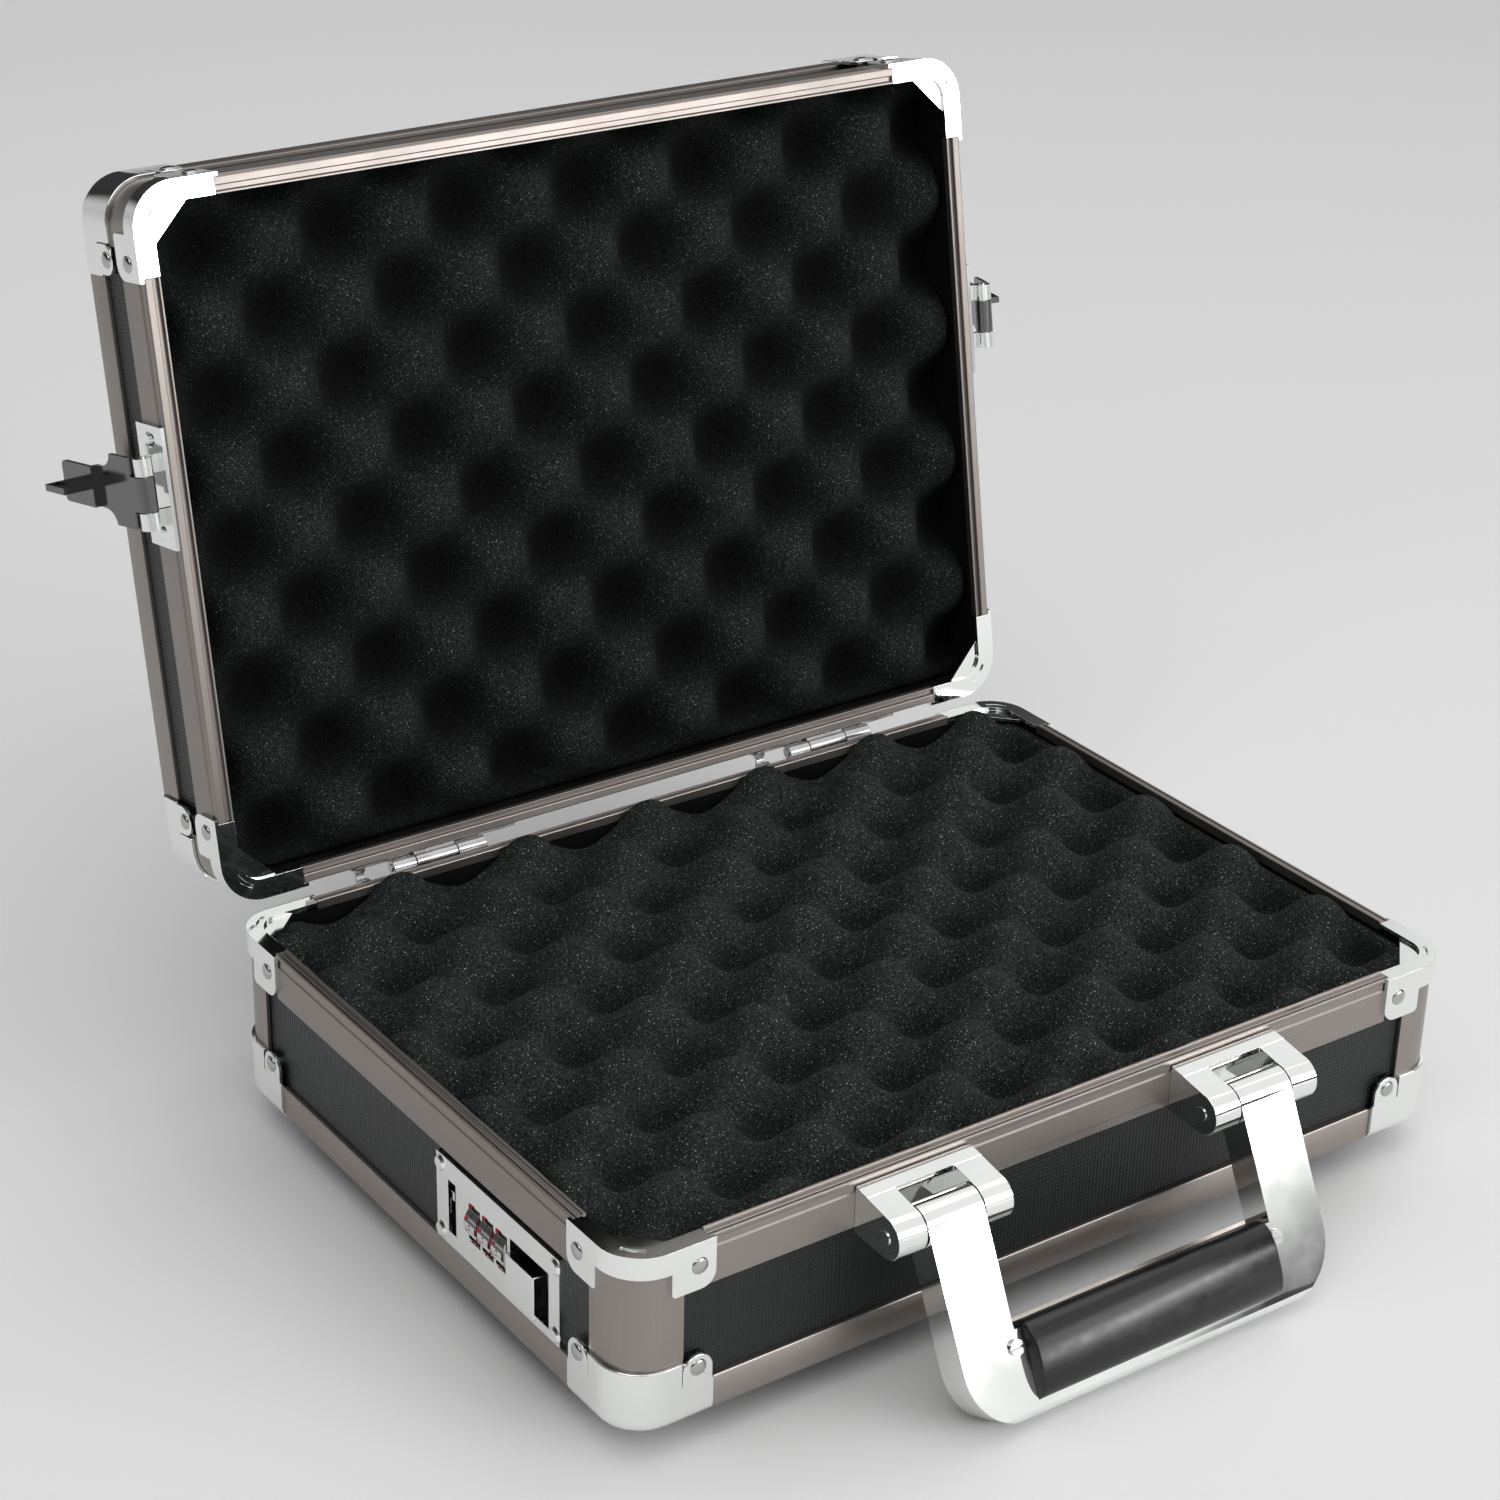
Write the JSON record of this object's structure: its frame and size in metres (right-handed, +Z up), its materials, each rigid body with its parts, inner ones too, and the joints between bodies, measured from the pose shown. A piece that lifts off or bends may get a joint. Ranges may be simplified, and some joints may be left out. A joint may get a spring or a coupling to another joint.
{
  "type": "miniature carry case",
  "caption": "Clamshell carry case with an aluminium frame, metal corners, foam trays, combination locks, side hasps and a folding handle.",
  "frame": {"origin": "centre of the base's flat underside, between the feet", "axes": "+X to the case's right seen from the handle side, +Y from the handle to the hinges, +Z up"},
  "size_m": [0.346, 0.335, 0.2773],
  "materials": {
    "laminate": "black laminate with a fine woven grain",
    "frame": "satin anodised, warm grey",
    "lining": "black fleece",
    "foam": "charcoal open-cell foam",
    "hardware": "polished chrome plate",
    "dial": "satin chrome with dark numbers",
    "grip": "smooth black",
    "feet": "black rubber",
    "steel": "zinc-plated"
  },
  "bodies": {
    "base": {"base_floor_panel": "laminate", "base_front_panel": "laminate", "base_back_panel": "laminate", "base_left_panel": "laminate", "base_right_panel": "laminate", "base_front_rail": "frame", "base_back_rail": "frame", "base_left_rail": "frame", "base_right_rail": "frame", "base_bottom_trims": "frame", "base_corner_posts": "frame", "base_lining": "lining", "base_foam": "foam", "base_rim_clamps": "hardware", "base_ball_corners": "hardware", "base_rivets": "hardware", "handle_brackets": "hardware", "handle_pins": "hardware", "foot_screws": "hardware", "lock_left_plate": "hardware", "lock_right_plate": "hardware", "feet": "feet", "lock_housings": "steel", "lock_spindles": "steel", "lock_springs": "steel", "hinge_base_leaves": "steel", "hinge_pins": "steel"},
    "lid": {"lid_top_panel": "laminate", "lid_front_panel": "laminate", "lid_back_panel": "laminate", "lid_left_panel": "laminate", "lid_right_panel": "laminate", "lid_front_rail": "frame", "lid_back_rail": "frame", "lid_left_rail": "frame", "lid_right_rail": "frame", "lid_top_trims": "frame", "lid_corner_posts": "frame", "lid_lining": "lining", "lid_foam": "foam", "lid_rim_clamps": "hardware", "lid_ball_corners": "hardware", "lid_rivets": "hardware", "hasp_plates": "hardware", "hasp_pins": "hardware", "hinge_lid_leaves": "steel"},
    "handle": {"handle_frame": "hardware", "handle_grip": "grip", "handle_screws": "hardware"},
    "hasp_left": {"hasp_left_tongue": "hardware"},
    "hasp_right": {"hasp_right_tongue": "hardware"},
    "dial_left_1": {"lock_left_dial_1": "dial"},
    "dial_left_2": {"lock_left_dial_2": "dial"},
    "dial_left_3": {"lock_left_dial_3": "dial"},
    "dial_right_1": {"lock_right_dial_1": "dial"},
    "dial_right_2": {"lock_right_dial_2": "dial"},
    "dial_right_3": {"lock_right_dial_3": "dial"},
    "slider_left": {"lock_left_slider": "hardware"},
    "slider_right": {"lock_right_slider": "hardware"}
  },
  "joints": [
    {"name": "lid_hinge", "type": "hinge", "parent": "base", "child": "lid", "pos_m": [0, 0.109, 0.05465], "axis": [1, 0, 0], "range_deg": [0, 100.3]},
    {"name": "handle_pivot", "type": "hinge", "parent": "base", "child": "handle", "pos_m": [0, -0.1193, 0.044], "axis": [-1, 0, 0], "range_deg": [-32, 65]},
    {"name": "hasp_left_hinge", "type": "hinge", "parent": "lid", "child": "hasp_left", "pos_m": [-0.1522, 0.13407, 0.18171], "axis": [0, 0.1788, 0.9839], "range_deg": [0, 175]},
    {"name": "hasp_right_hinge", "type": "hinge", "parent": "lid", "child": "hasp_right", "pos_m": [0.1522, 0.13407, 0.18171], "axis": [0, -0.1788, -0.9839], "range_deg": [-17, 158]},
    {"name": "dial_left_1_spin", "type": "hinge", "parent": "base", "child": "dial_left_1", "pos_m": [-0.1415, -0.0323, 0.0248], "axis": [0, 1, 0], "continuous": true},
    {"name": "dial_left_2_spin", "type": "hinge", "parent": "base", "child": "dial_left_2", "pos_m": [-0.1415, -0.0393, 0.0248], "axis": [0, 1, 0], "continuous": true},
    {"name": "dial_left_3_spin", "type": "hinge", "parent": "base", "child": "dial_left_3", "pos_m": [-0.1415, -0.0463, 0.0248], "axis": [0, 1, 0], "continuous": true},
    {"name": "dial_right_1_spin", "type": "hinge", "parent": "base", "child": "dial_right_1", "pos_m": [0.1415, -0.0323, 0.0248], "axis": [0, 1, 0], "continuous": true},
    {"name": "dial_right_2_spin", "type": "hinge", "parent": "base", "child": "dial_right_2", "pos_m": [0.1415, -0.0393, 0.0248], "axis": [0, 1, 0], "continuous": true},
    {"name": "dial_right_3_spin", "type": "hinge", "parent": "base", "child": "dial_right_3", "pos_m": [0.1415, -0.0463, 0.0248], "axis": [0, 1, 0], "continuous": true},
    {"name": "slider_left_slide", "type": "slide", "parent": "base", "child": "slider_left", "axis": [0, -1, 0], "range_m": [0, 0.0033], "stiffness_N_per_m": 300, "springref_m": -0.002},
    {"name": "slider_right_slide", "type": "slide", "parent": "base", "child": "slider_right", "axis": [0, -1, 0], "range_m": [0, 0.0033], "stiffness_N_per_m": 300, "springref_m": -0.002}
  ]
}
